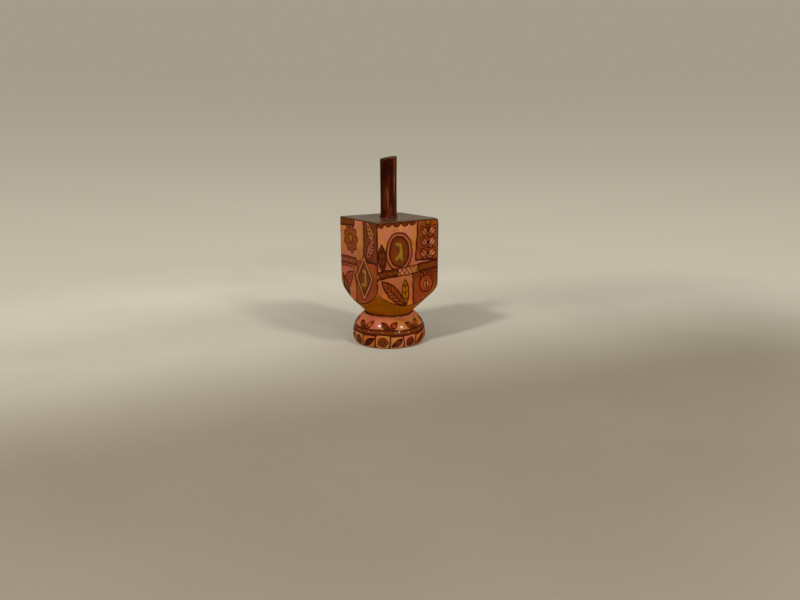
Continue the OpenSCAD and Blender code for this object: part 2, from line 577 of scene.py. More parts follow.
def paint_stand(c: Canvas) -> None:
    """Paints sprigs on a plain ground, a dark band with gold dots, and a pale foot with motifs.

    Args:
        c: Canvas over the stand.
    """
    c.tint((9 - c.up) / 6, Tone.PEACH)
    count, band, dot = 8, 9.4, 0.44
    pitch = c.period / count
    for i in range(count):
        at = (i + 0.3) * pitch
        pair = ((Tone.RUST, Tone.APRICOT), (Tone.BROWN, Tone.ROSE))[i % 2]
        c.leaf((at - 0.2, 11.0), (at - 5.4, 15.4), 3.2, pair[0], 2)
        c.leaf((at + 0.2, 11.0), (at + 4.8, 16.0), 3.2, pair[1], 2)
    c.fill(np.abs(c.up - band) - 1.4, Tone.BROWN, BOLD)
    for i in range(2 * count):
        c.gild(np.hypot(*c.seen_from((i * pitch / 2, band))) - dot)
    for i in range(count):
        at = (i + 0.55) * pitch
        corners = [(-4.4, -1.0), (4.2, -1.0), (3.8, 7.6), (-4.0, 7.4)]
        patch = c.panel(corners, (Tone.APRICOT, Tone.PEACH)[i % 2], BOLD, (at, 0.0))
        patch.leaf((at - 3.0, 1.2), (at + 3.0, 6.0), 3.0, (Tone.UMBER, Tone.RUST)[i % 2], 2)
        c.rosette((at + pitch / 2, 3.8), 2.7, 5, (Tone.RUST, Tone.BROWN)[i % 2], Tone.MUSTARD)


# The block's faces, counter-clockwise from the one that looks along -Y
PICTURES = (paint_front, paint_right, paint_back, paint_left)


class Finish(Protocol):
    """Finish of a surface, which mixes its own material."""

    def material(self) -> bpy.types.Material:
        """Mixes the material."""


def put(name: str, data: bpy.types.ID) -> bpy.types.Object:
    """Puts a new object into the scene, at the origin.

    Args:
        name: Its name.
        data: Its mesh, lamp or camera.

    Returns:
        The object.
    """
    thing = bpy.data.objects.new(name, data)
    bpy.context.scene.collection.objects.link(thing)
    return thing


def add_layer(mesh: bpy.types.Mesh, title: str, values: Array) -> None:
    """Gives a surface of rings a value at each point, and each pole the mean of its ring.

    Args:
        mesh: The surface's mesh, whose poles come last.
        title: Name of the layer.
        values: Numbers as (rows, columns), or colours as (rows, columns, 3).
    """
    coloured = values.ndim == 3
    flat = np.concatenate([values.reshape(-1, *values.shape[2:]), values[[0, -1]].mean(axis=1)])
    if coloured:
        flat = np.concatenate([flat, np.ones((len(flat), 1))], axis=1)
    layer = mesh.attributes.new(title, "FLOAT_COLOR" if coloured else "FLOAT", "POINT")
    layer.data.foreach_set("color" if coloured else "value", flat.astype(np.float32).ravel())


def ring_surface(
    name: str, points: Array, band: Array, layers: dict[str, Array], finishes: tuple[Finish, ...]
) -> bpy.types.Object:
    """Makes a closed surface from rings of points, and shuts each end with a fan round a pole.

    Row i, column j is joined to row i + 1 and column j + 1, the last column to the first. The rings
    run down the outside and each turns counter-clockwise, so the faces look outwards.

    Args:
        name: Name of the piece.
        points: Places in millimetres, as (rows, columns, 3).
        band: For each ring, the number of the finish that the band below it has.
        layers: Values for the shaders, as (rows, columns) or (rows, columns, 3).
        finishes: The finishes.

    Returns:
        The object, at the origin.
    """
    rows, columns = points.shape[:2]
    places = np.concatenate([points.reshape(-1, 3), points[[0, -1]].mean(axis=1)]) * MM
    here = np.arange(rows * columns).reshape(rows, columns)
    ahead = np.roll(here, -1, axis=1)
    pole = np.full(columns, rows * columns)
    top = np.stack([pole, here[0], ahead[0]], axis=1)
    quads = np.stack([here[:-1], here[1:], ahead[1:], ahead[:-1]], axis=2).reshape(-1, 4)
    bottom = np.stack([pole + 1, ahead[-1], here[-1]], axis=1)
    mesh = bpy.data.meshes.new(name)
    mesh.from_pydata(places.tolist(), [], top.tolist() + quads.tolist() + bottom.tolist())
    mesh.polygons.foreach_set("use_smooth", np.ones(len(mesh.polygons), dtype=bool))
    for finish in finishes:
        mesh.materials.append(finish.material())
    own = np.repeat(np.concatenate([band[:1], band]), columns)
    mesh.polygons.foreach_set("material_index", own.astype(np.int32))
    for title, values in layers.items():
        add_layer(mesh, title, values)
    mesh.update()
    mesh.validate()
    return put(name, mesh)


def stretch(stops: list[Point], counts: list[int]) -> Array:
    """Joins stops (radius, height) by straight runs, each in its count of even steps."""
    runs = [np.linspace(a, b, n, endpoint=False) for a, b, n in zip(stops, stops[1:], counts)]
    return np.concatenate([*runs, stops[-1:]])


def arc(middle: Point, radius: float, start: float, end: float, count: int) -> Array:
    """Draws an arc, middle + radius (cos a, sin a), at even angles from start to end in degrees."""
    angle = np.radians(np.linspace(start, end, count))
    return np.array(middle) + radius * np.stack([np.cos(angle), np.sin(angle)], axis=1)


def ring_angles(columns: int) -> Array:
    """Returns so many even angles once round, from half a step past -Y."""
    return (np.arange(columns) + 0.5) * 2 * math.pi / columns - math.pi / 2


def turned(radius: Array, height: Array, angle: Array) -> Array:
    """Turns an outline about the axis: (r cos a, r sin a, z), as (rows, columns, 3)."""
    flat = radius * np.cos(angle), radius * np.sin(angle)
    return np.stack([*flat, height + 0 * angle], axis=2)


def rubbed_off(away: Array, wear: Point) -> Array:
    """Returns most e^(-(way to the edge / width)^2), where wear is (most, width)."""
    return wear[0] * np.exp(-((away / wear[1]) ** 2))


# The run over which a noise does most of its changing
SWING = (0.3, 0.7)


class Nodes:
    """Builds one node material step by step."""

    def __init__(self, holder: bpy.types.Material | bpy.types.World) -> None:
        """Empties the node tree of a material or world.

        Args:
            holder: The material or world.
        """
        holder.use_nodes = True
        self.holder = holder
        self.tree = holder.node_tree
        self.tree.nodes.clear()
        kind = "Generated" if isinstance(holder, bpy.types.World) else "Object"
        self.coordinates = self.tree.nodes.new("ShaderNodeTexCoord").outputs[kind]

    @classmethod
    def material(cls, name: str) -> "Nodes":
        """Starts a new material by name."""
        return cls(bpy.data.materials.new(name))

    def add(self, kind: str, *values: Value, **settings: str | bool) -> bpy.types.Node:
        """Adds a node, links or sets its first inputs in order, and sets its properties.

        Args:
            kind: Node type without its ShaderNode prefix.
            values: What goes into each input: a socket, a number, a colour, or None to leave it.
            settings: Properties of the node.

        Returns:
            The node.
        """
        node = self.tree.nodes.new("ShaderNode" + kind)
        for key, setting in settings.items():
            setattr(node, key, setting)
        sockets = [socket for socket in node.inputs if socket.enabled]
        for socket, value in zip(sockets, values):
            self.feed(socket, value)
        return node

    def feed(self, socket: Socket, value: Value) -> None:
        """Links a socket to an output, or sets it to a value. None leaves it.

        Args:
            socket: The input.
            value: What goes into it.
        """
        if isinstance(value, Socket):
            self.tree.links.new(value, socket)
        elif value is not None:
            socket.default_value = (*value, 1.0) if socket.type == "RGBA" else value

    def layer(self, name: str, colour: bool = False) -> Socket:
        """Reads a number, or a colour, that the mesh holds at each point."""
        return self.add("Attribute", attribute_name=name).outputs["Color" if colour else "Fac"]

    def noise(self, scale: Place, detail: float = 2.0, seed: float = 0.0) -> Socket:
        """Makes a noise from 0 to 1 on Object coordinates.

        Args:
            scale: Spots per metre along each axis.
            detail: Number of finer layers.
            seed: Shift of the pattern, in metres.

        Returns:
            The noise.
        """
        place = self.add("Mapping", self.coordinates, (seed, seed, seed), None, scale)
        texture = self.add("TexNoise", place.outputs[0], noise_dimensions="3D")
        texture.inputs["Scale"].default_value = 1.0
        texture.inputs["Detail"].default_value = detail
        return texture.outputs["Fac"]

    def ramp(
        self, value: Value, start: float, end: float, low: float = 0.0, high: float = 1.0
    ) -> Socket:
        """Runs smoothly from low, where the value is at start, to high at end, and holds them."""
        node = self.add("MapRange", value, start, end, low, high, interpolation_type="SMOOTHSTEP")
        return node.outputs[0]

    def sum(self, operation: str, a: Value, b: Value = None) -> Socket:
        """Does a sum, such as ADD or MULTIPLY, on two numbers, or one such as SINE on the first."""
        return self.add("Math", a, b, operation=operation).outputs[0]

    def total(self, *parts: tuple[Value, float]) -> Socket:
        """Adds up values, each times its weight.

        Args:
            parts: The values and their weights.

        Returns:
            The total.
        """
        result: Value = 0.0
        for value, weight in parts:
            result = self.add("Math", value, weight, result, operation="MULTIPLY_ADD").outputs[0]
        return result

    def vector(self, operation: str, a: Value, b: Value) -> Socket:
        """Does a sum, such as ADD or MULTIPLY, on two vectors."""
        return self.add("VectorMath", a, b, operation=operation).outputs["Vector"]

    def length(self, a: Value, axes: Place = (1.0, 1.0, 1.0)) -> Socket:
        """Returns the length of a vector, counting only the axes that are 1."""
        counted = self.vector("MULTIPLY", a, axes)
        return self.add("VectorMath", counted, operation="LENGTH").outputs["Value"]

    def mix(self, share: Value, a: Value, b: Value, blend: str = "MIX") -> Socket:
        """Mixes a share of colour b over colour a. The node's third output is the colour."""
        return self.add("Mix", share, a, b, data_type="RGBA", blend_type=blend).outputs[2]

    def shade(self, colour: Value, value: Value, *run: float) -> Socket:
        """Multiplies a colour by a ramp.

        Args:
            colour: The colour.
            value: What the ramp reads.
            run: The ramp's start, end, low and high.

        Returns:
            The result.
        """
        node = self.add("VectorMath", colour, operation="SCALE")
        self.feed(node.inputs["Scale"], self.ramp(value, *run))
        return node.outputs[0]

    def finish(
        self,
        colour: Value,
        rough: Value,
        relief: Value,
        depth: float,
        coat: Point,
        gloss: float = 0.5,
    ) -> bpy.types.Material:
        """Closes the material with its main shader.

        Args:
            colour: Base colour.
            rough: Roughness.
            relief: Relief of the surface.
            depth: Height of the relief, in metres.
            coat: Weight and roughness of the clear coat.
            gloss: Specular level under the coat.

        Returns:
            The material.
        """
        bump = self.add("Bump")
        self.feed(bump.inputs["Distance"], depth)
        self.feed(bump.inputs["Height"], relief)
        shader = self.add("BsdfPrincipled")
        inputs = {
            "Base Color": colour,
            "Roughness": rough,
            "Normal": bump.outputs[0],
            "Coat Weight": coat[0],
            "Coat Roughness": coat[1],
            "Specular IOR Level": gloss,
        }
        for title, value in inputs.items():
            self.feed(shader.inputs[title], value)
        self.add("OutputMaterial", shader.outputs[0])
        return self.holder


@dataclass(frozen=True)
class PaintFinish:
    """Thin hand-brushed paint with burnt-looking outlines and gold marks, under clear lacquer.

    Attributes:
        name: Name of the material.
        ink: Screen colour of the outlines.
        gold: Screen colour of the gold marks.
        bare: Screen colour of the wood where an edge is rubbed.
        coat: Weight of the lacquer.
    """

    name: str
    ink: Screen = (50, 11, 1)
    gold: Screen = (132, 96, 26)
    bare: Screen = (176, 122, 74)
    coat: float = 0.13

    def wash(self, n: Nodes, streak: Value, blot: Value) -> Socket:
        """Mixes the thin paint: streaks, a slow change of hue, blots and fibres.

        Args:
            n: The nodes of the material.
            streak: Noise of the brush's streaks.
            blot: Noise of the blots.

        Returns:
            The colour.
        """
        flush = n.noise((75.0, 75.0, 95.0), 2.0, 0.5)
        fibre = n.noise((3400.0, 3400.0, 90.0), 2.0, 0.7)
        colour = n.shade(n.layer("wash", True), streak, *SWING, 0.89, 1.05)
        hue = n.mix(n.ramp(flush, 0.38, 0.62), (1.0, 1.03, 0.5), (1.07, 0.89, 1.1))
        colour = n.mix(1.0, colour, hue, "MULTIPLY")
        colour = n.mix(n.ramp(blot, 0.45, 0.72, 0.0, 0.5), colour, (0.7, 0.54, 0.42), "MULTIPLY")
        colour = n.shade(colour, blot, 0.5, 0.28, 1.0, 1.16)
        return n.shade(colour, fibre, 0.56, 0.7, 1.0, 0.9)

    def material(self) -> bpy.types.Material:
        """Mixes the paint: the wash, gold and ink with wavering edges, and the wear.

        Returns:
            The material.
        """
        n = Nodes.material(self.name)
        streak = n.noise((900.0, 900.0, 260.0), 3.0)
        blot = n.noise((150.0, 150.0, 190.0), 4.0, 0.3)
        speck = n.noise((2300.0, 2300.0, 2300.0), 2.0, 0.1)
        chips = n.noise((620.0, 620.0, 420.0), 3.0, 0.8)
        waver = n.ramp(speck, 0.25, 0.75, -0.09, 0.09)
        gilded = n.ramp(n.sum("ADD", n.layer("gilt"), waver), 0.07, -0.07)
        gold = n.shade(linear(self.gold), streak, *SWING, 0.72, 1.18)
        colour = n.mix(gilded, self.wash(n, streak, blot), gold)
        inked = n.ramp(n.sum("ADD", n.layer("ink"), waver), 0.09, -0.07)
        dark = n.shade(linear(self.ink), blot, *SWING, 0.7, 1.7)
        colour = n.mix(n.sum("MULTIPLY", inked, n.ramp(speck, 0.2, 0.45, 0.86, 0.97)), colour, dark)
        chip = n.ramp(n.sum("ADD", chips, n.layer("wear")), 0.78, 0.84)
        bare = n.shade(linear(self.bare), streak, *SWING, 0.6, 1.0)
        colour = n.mix(n.sum("MULTIPLY", chip, 0.8), colour, bare)
        relief = n.total((gilded, 1.0), (inked, -0.8), (chip, -1.5), (streak, 0.3))
        rough = n.ramp(speck, *SWING, 0.36, 0.52)
        return n.finish(colour, rough, relief, 0.000015, (self.coat, 0.15), 0.0)


@dataclass(frozen=True)
class TopFinish:
    """Dark brown paint of the block's top, thick with lacquer.

    Attributes:
        name: Name of the material.
        paint: Screen colour of the paint.
        warm: Screen colour where the wood glows through.
    """

    name: str
    paint: Screen = (62, 40, 18)
    warm: Screen = (88, 42, 18)

    def material(self) -> bpy.types.Material:
        """Mixes the paint over the end grain's pores, with the lacquer's slow waves.

        Returns:
            The material.
        """
        n = Nodes.material(self.name)
        brush = n.noise((120.0, 1100.0, 600.0), 3.0)
        blot = n.noise((130.0, 130.0, 130.0), 3.0, 0.3)
        pore = n.noise((2600.0, 2600.0, 2600.0), 2.0, 0.6)
        colour = n.shade(linear(self.paint), brush, *SWING, 0.7, 1.35)
        colour = n.mix(n.ramp(blot, 0.4, 0.7, 0.0, 0.6), colour, linear(self.warm))
        colour = n.shade(colour, pore, 0.58, 0.7, 1.0, 0.55)
        relief = n.total((brush, 0.7), (pore, 0.35))
        rough = n.ramp(blot, *SWING, 0.34, 0.5)
        return n.finish(colour, rough, relief, 0.00002, (0.36, 0.18), 0.1)


@dataclass(frozen=True)
class StainFinish:
    """Dark stain that lies unevenly on a whittled stick, under clear lacquer.

    Attributes:
        name: Name of the material.
        deep: Screen colour where the stain is thick.
        thin: Screen colour where it is thin.
        rubbed_and_painted_light: Screen colour of the lighter spots: partly stain nearly rubbed
            off, partly painted highlight.
        wood: Screen colour of the end grain at the cut, which the stain has soaked.
        pith: Where the growth rings have their middle, in metres.
        ring: Width of a growth ring, in metres.
    """

    name: str
    deep: Screen = (46, 9, 0)
    thin: Screen = (86, 32, 6)
    rubbed_and_painted_light: Screen = (136, 80, 52)
    wood: Screen = (62, 47, 26)
    pith: Point = (-0.0062, 0.0038)
    ring: float = 0.0011

    def end_grain(self, n: Nodes) -> Socket:
        """Mixes the cut end: growth rings sin(2 pi r / ring) about an off-centre pith, and pores.

        Args:
            n: The nodes of the material.

        Returns:
            The colour.
        """
        away = n.length(n.vector("SUBTRACT", n.coordinates, (*self.pith, 0.0)), (1.0, 1.0, 0.0))
        bend = n.ramp(n.noise((170.0, 170.0, 0.0), 1.0), *SWING, -0.0002, 0.0002)
        turns = n.sum("MULTIPLY", n.sum("ADD", away, bend), 2.0 * math.pi / self.ring)
        pore = n.noise((5200.0, 5200.0, 0.0), 1.0, 0.4)
        colour = n.shade(linear(self.wood), n.sum("SINE", turns), -0.6, 0.9, 1.12, 0.72)
        return n.shade(colour, pore, 0.55, 0.68, 1.0, 0.6)

    def material(self) -> bpy.types.Material:
        """Mixes the stain along the grain, thin in some spots and nearly black in others.

        The spots are partly rubbed and pooled stain and partly painted highlight and shade.

        Returns:
            The material.
        """
        n = Nodes.material(self.name)
        long = n.noise((330.0, 330.0, 70.0), 3.0, 0.2)
        fibre = n.noise((2400.0, 2400.0, 130.0), 3.0, 0.5)
        blot = n.noise((260.0, 260.0, 150.0), 3.0, 0.9)
        rub_and_painted_light = n.layer("rub_and_painted_light")
        share = n.sum("MULTIPLY", n.ramp(long, 0.42, 0.72), n.ramp(blot, *SWING, 0.3, 1.0))
        colour = n.mix(share, linear(self.deep), linear(self.thin))
        # Lighter where the layer is above 0 and darker where it is below: partly rubbed and pooled
        # stain, partly painted highlight and shade
        worn = n.sum("MULTIPLY", n.ramp(rub_and_painted_light, 0.0, 1.0), n.ramp(fibre, 0.62, 0.36, 0.35, 1.0))
        colour = n.mix(worn, colour, linear(self.rubbed_and_painted_light))
        colour = n.shade(colour, rub_and_painted_light, 0.0, -1.0, 1.0, 0.5)
        colour = n.shade(colour, fibre, 0.35, 0.68, 1.18, 0.7)
        colour = n.mix(n.layer("cut"), colour, self.end_grain(n))
        relief = n.total((fibre, 0.5), (long, 1.0))
        rough = n.ramp(blot, *SWING, 0.3, 0.48)
        return n.finish(colour, rough, relief, 0.00012, (0.16, 0.16), 0.0)


@dataclass(frozen=True)
class BareWood:
    """Pale close-grained hardwood, waxed or raw, as turned.

    Attributes:
        name: Name of the material.
        pale: Screen colour of the early wood.
        dark: Screen colour of the late wood.
        gloss: Weight of the wax.
    """

    name: str
    pale: Screen = (202, 160, 112)
    dark: Screen = (150, 104, 62)
    gloss: float = 0.0

    def material(self) -> bpy.types.Material:
        """Mixes growth rings, fibres and pores along Z, and the turning tool's fine rings.

        Returns:
            The material.
        """
        n = Nodes.material(self.name)
        ring = n.noise((260.0, 90.0, 12.0), 3.0, 0.4)
        fibre = n.noise((2600.0, 2600.0, 120.0), 3.0, 0.6)
        tool = n.noise((40.0, 40.0, 2600.0), 1.0, 0.8)
        colour = n.mix(n.ramp(ring, 0.36, 0.66), linear(self.pale), linear(self.dark))
        colour = n.shade(colour, fibre, 0.4, 0.68, 1.06, 0.74)
        relief = n.total((fibre, 1.0), (tool, 0.6))
        rough = n.ramp(fibre, *SWING, 0.5, 0.68)
        return n.finish(colour, rough, relief, 0.00005, (self.gloss, 0.25))


@dataclass(frozen=True)
class Span:
    """Room that a CAD node takes, in millimetres.

    Attributes:
        half: Half its width along X.
        low: Its lowest height.
        high: Its greatest height.
    """

    half: float
    low: float
    high: float

    @classmethod
    def of(cls, node: str) -> "Span":
        """Measures a node of the frame."""
        low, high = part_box(node)
        return cls((high[0] - low[0]) / 2 / MM, low[2] / MM, high[2] / MM)


def room_of(node: str) -> Span:
    """Declares a field that holds the room of a CAD node."""
    return field(default_factory=lambda: Span.of(node))


def stacked(rings: list[tuple[Array, float]]) -> Array:
    """Lifts flat rings to their heights, and returns their points as (rings, columns, 3)."""
    return np.array([np.insert(flat, 2, height, axis=1) for flat, height in rings])


@dataclass
class Block:
    """Square painted block with its turned nose, in millimetres.

    Attributes:
        room: Room of the block.
        stem: Room of the stem, which fills the upper hole.
        tip: Room of the spinning tip, which fills the lower hole.
        gap: Gap round the stem and the tip in their holes.
        air: Air at the blind end of each hole.
        mouth: How far the stem's hole opens out just under the top face, and at it.
        lip: How far the tip's hole opens out at the nose, and over what height.
        edge_r: Radius of the four upright edges.
        edge_wear: How much the paint is worn off the edges, and the width over which it is.
        top_ease: Radius round the top face.
        knocks: How far the upper corners are worn in, counter-clockwise from the front left one.
        knock_width: Width over which they are.
        edge_ink_and_shade: Half widths of the dark lines on the upright edges, on one diagonal of
            the
        block and on the other: a thin ink line on the edges nearest and furthest from the camera,
        and a wider one on the other two, partly ink and partly painted shade where they turn away.
        rim_line: Depth under the top at which a dark line runs round the faces.
        spill: How far a face's paint runs over the crease.
        slope: Slope of the nose from the axis, in degrees.
        end_r: Radius of the flat end of the nose.
        shoulder_r: Radius of the shoulder that leads from the edges into the nose.
        crease_ease: Width over which a face is eased into the nose.
        crease_rows: Heights over the crease of the close rows through it.
        ochre: Screen colour of the nose.
        flat_columns: Columns on the flat of each face.
        arc_columns: Columns on each half of a rounded edge.
        side_rows: Rows on the painted faces.
        nose_rows: Rows on the nose.
        top_rows: Rows on the top face.
    """

    room: Span = room_of("block")
    stem: Span = room_of("stem")
    tip: Span = room_of("spinning_tip")
    gap: float = 0.05
    air: float = 0.4
    mouth: Point = (0.12, 0.3)
    lip: Point = (0.17, 0.12)
    edge_r: float = 0.9
    edge_wear: Point = (0.19, 0.8)
    top_ease: float = 0.5
    knocks: tuple[float, ...] = (0.15, 0.62, 0.35, 0.1)
    knock_width: float = 1.6
    edge_ink_and_shade: Point = (0.4, 0.95)
    rim_line: float = 0.4
    spill: float = 0.2
    slope: float = 45.5
    end_r: float = 3.2
    shoulder_r: float = 10.5
    crease_ease: float = 0.6
    crease_rows: tuple[float, ...] = (0.8, 0.55, 0.3, 0.1, -0.1, -0.3, -0.55, -0.8)
    ochre: Screen = (172, 99, 0)
    flat_columns: int = 120
    arc_columns: int = 4
    side_rows: int = 136
    nose_rows: int = 20
    top_rows: int = 10

    @property
    def edge_line(self) -> float:
        """Distance across a face at which it ends, half way round the edge."""
        return self.room.half - self.edge_r + self.edge_r * math.pi / 4

    @property
    def shoulder_mid(self) -> Point:
        """Middle of the shoulder's arc, which the nose's cone touches.

        Returns:
            Its radius and height.
        """
        slope = math.radians(self.slope)
        out = self.room.half * math.sqrt(2.0) - self.shoulder_r
        point = self.room.low - self.end_r / math.tan(slope)
        return out, point + (out * math.cos(slope) + self.shoulder_r) / math.sin(slope)

    def columns(self) -> tuple[Array, Array, Array]:
        """Goes once round the rounded square from the front face's left edge.

        On the flat a point is (s, -half). Past it the edge turns by (|s| - flat)/edge_r.

        Returns:
            The outline as (columns, 2), its outward normals, and the distance across its own face.
        """
        flat = self.room.half - self.edge_r
        share = (np.arange(self.arc_columns) + 0.5) / self.arc_columns
        corner = flat + share * (self.edge_line - flat)
        even = ((np.arange(self.flat_columns) + 0.5) / self.flat_columns * 2 - 1) * flat
        across = np.concatenate([-corner[::-1], even, corner])
        turn = np.sign(across) * np.maximum(np.abs(across) - flat, 0.0) / self.edge_r
        normal = np.stack([np.sin(turn), -np.cos(turn)], axis=1)
        core = np.stack([np.clip(across, -flat, flat), np.full(len(across), -flat)], axis=1)
        quarters = [np.array([[c, s], [-s, c]]) for c, s in ((1, 0), (0, 1), (-1, 0), (0, -1))]
        outline = np.concatenate([(core + normal * self.edge_r) @ q for q in quarters])
        normals = np.concatenate([normal @ q for q in quarters])
        return outline, normals, np.tile(across, 4)

    def turned_radius(self, height: Array) -> Array:
        """Gives the radius that the lathe leaves: a cone, then the shoulder's arc.

        Args:
            height: Heights.

        Returns:
            The radius at each height.
        """
        mid_r, mid_z = self.shoulder_mid
        slope = math.radians(self.slope)
        cone = self.end_r + (height - self.room.low) * math.tan(slope)
        drop = np.clip(mid_z - height, 0.0, self.shoulder_r)
        shoulder = mid_r + np.sqrt(self.shoulder_r**2 - drop**2)
        return np.where(height < mid_z - self.shoulder_r * math.sin(slope), cone, shoulder)

    def crease_height(self, radius: Array) -> Array:
        """Gives the height at which the turned outline has a radius: turned_radius the other way.

        Args:
            radius: Radii.

        Returns:
            The height for each radius.
        """
        mid_r, mid_z = self.shoulder_mid
        slope = math.radians(self.slope)
        cone = self.room.low + (radius - self.end_r) / math.tan(slope)
        out = np.clip(radius - mid_r, 0.0, self.shoulder_r)
        shoulder = mid_z - np.sqrt(self.shoulder_r**2 - out**2)
        return np.where(radius < mid_r + self.shoulder_r * math.cos(slope), cone, shoulder)

    def sides(self, outline: Array) -> Array:
        """Runs the faces down to the crease and on down the nose.

        The radius is the smaller of the square's and the turned one, eased where they meet:
        min(a, b) - k/4 max(1 - |a - b|/k, 0)^2.

        Args:
            outline: The rounded square.

        Returns:
            The points as (rows, columns, 3).
        """
        square = np.hypot(*outline.T)
        near = self.crease_height(square) + np.array(self.crease_rows)[:, None]
        top = self.room.high - self.top_ease
        down = np.linspace(0.0, 1.0, self.side_rows)[:-1, None]
        upper = top + (near[0] - top) * down
        down = np.linspace(0.0, 1.0, self.nose_rows)[1:, None]
        lower = near[-1] + (self.room.low - near[-1]) * down
        height = np.concatenate([upper, near, lower])
        lathe = self.turned_radius(height)
        overlap = np.maximum(1 - np.abs(square - lathe) / self.crease_ease, 0)
        radius = np.minimum(square, lathe) - self.crease_ease / 4 * overlap**2
        flat = (outline / square[:, None]) * radius[..., None]
        return np.concatenate([flat, height[..., None]], axis=2)

    def points(self) -> tuple[Array, Array, Array]:
        """Sets all rings one below the other, from the stem hole's floor to the tip hole's roof.

        Returns:
            The points, the distance across of each column, and which finish each band has.
        """
        outline, normals, across = self.columns()
        away = outline / np.hypot(*outline.T)[:, None]
        top_z, end_z, ease = self.room.high, self.room.low, self.top_ease
        hole, floor = self.stem.half + self.gap, self.stem.low - self.air
        bore = [(hole / 2, floor), (hole, floor), (hole, (floor + top_z) / 2)]
        bore += [(hole, top_z - 0.4), (hole + self.mouth[0], top_z - 0.05)]
        mouth, inner = away * (hole + self.mouth[1]), outline - normals * ease
        top = [(mouth + (inner - mouth) * t, top_z) for t in np.linspace(0.0, 1.0, self.top_rows)]
        for turn in (0.35, 0.75, 1.15):
            inset, drop = ease * (1 - math.sin(turn)), ease * (1 - math.cos(turn))
            top.append((outline - normals * inset, top_z - drop))
        hole, roof = self.tip.half + self.gap, self.tip.high + self.air
        flare, depth = self.lip
        end = [(self.end_r - 0.2, end_z), (hole + flare, end_z), (hole, end_z + depth)]
        end += [(hole, (end_z + roof) / 2), (hole, roof - 0.4), (hole, roof), (hole / 2, roof)]
        sides = self.sides(outline)
        above = stacked([(away * radius, z) for radius, z in bore] + top)
        below = stacked([(away * radius, z) for radius, z in end])
        # Bare wood in the stem's hole, the top's paint, the faces and nose, bare wood again
        bands = (len(bore) - 1, len(top) + 1, len(sides) + 2, len(end) - 2)
        return np.concatenate([above, sides, below]), across, np.repeat([1, 2, 0, 1], bands)

    def worn(self, rings: Array) -> Array:
        """Rounds the four upper corners, as handling does.

        A point moves in and down by knock e^(-(way to its corner / width)^2).

        Args:
            rings: The points.

        Returns:
            The points, worn.
        """
        out = self.room.half - self.edge_r * (1 - math.sqrt(0.5))
        side = np.where(rings[..., :2] < 0, -1.0, 1.0)
        corner = np.where(side[..., 1] < 0, side[..., 0] > 0, 3 - (side[..., 0] > 0))
        most = np.array(self.knocks)[corner][..., None]
        way = np.concatenate([rings[..., :2] - side * out, rings[..., 2:] - self.room.high], axis=2)
        share = np.exp(-(way**2).sum(axis=2, keepdims=True) / self.knock_width**2)
        inward = np.concatenate([-side, -np.ones_like(share)], axis=2) / math.sqrt(3.0)
        return rings + most * share * inward

    def paint(self, rings: Array, across: Array) -> dict[str, Array]:
        """Paints the four faces and the ochre nose, with a dark line along the crease.

        Args:
            rings: The points.
            across: Distance across its face of each column.

        Returns:
            The layers for the paint's shader.
        """
        height = rings[..., 2]
        crease = self.crease_height(np.hypot(*self.columns()[0].T))
        low = self.crease_height(np.array(self.room.half))
        wash = np.broadcast_to(linear(self.ochre), rings.shape).copy()
        ink = np.full(height.shape, FAR)
        gilt = ink.copy()
        wide = len(across) // len(PICTURES)
        for i, picture in enumerate(PICTURES):
            own = slice(i * wide, (i + 1) * wide)
            up = height[:, own]
            at = across[own] + 0 * up
            canvas = Canvas.blank(at, up - low, Tone.SALMON)
            picture(canvas)
            # Painted shade: the two side edges get wider dark lines, partly ink and partly the
            # shade where those edges turn away from the light
            line = np.where(rings[:, own, 0] * rings[:, own, 1] > 0, *self.edge_ink_and_shade)
            canvas.stroke(np.abs(np.abs(at) - self.edge_line) - line, 0.0)
            canvas.stroke(np.abs(up - self.room.high + self.rim_line), BOLD)
            painted = up > crease[own] - self.spill
            np.copyto(wash[:, own], canvas.wash, where=painted[..., None])
            np.copyto(ink[:, own], canvas.ink, where=painted)
            np.copyto(gilt[:, own], canvas.gilt, where=painted)
        # The crease runs at a slant, so a way across it is shorter than the way down
        ink = np.minimum(ink, np.abs(height - crease) * 0.8 - FINE)
        edge = np.minimum(self.edge_line - np.abs(across) + 0 * height, self.room.high - height)
        return {"wash": wash, "ink": ink, "gilt": gilt, "wear": rubbed_off(edge, self.edge_wear)}

    def build(self) -> bpy.types.Object:
        """Builds and paints the block.

        Returns:
            The finished piece.
        """
        rings, across, band = self.points()
        layers = self.paint(rings, across)
        wood, top = BareWood("block_bore_wood"), TopFinish("block_top_paint")
        finishes = (PaintFinish("block_paint"), wood, top)
        piece = ring_surface("painted_block", self.worn(rings), band, layers, finishes)
        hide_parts("block")
        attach(piece, "dreidel")
        return piece


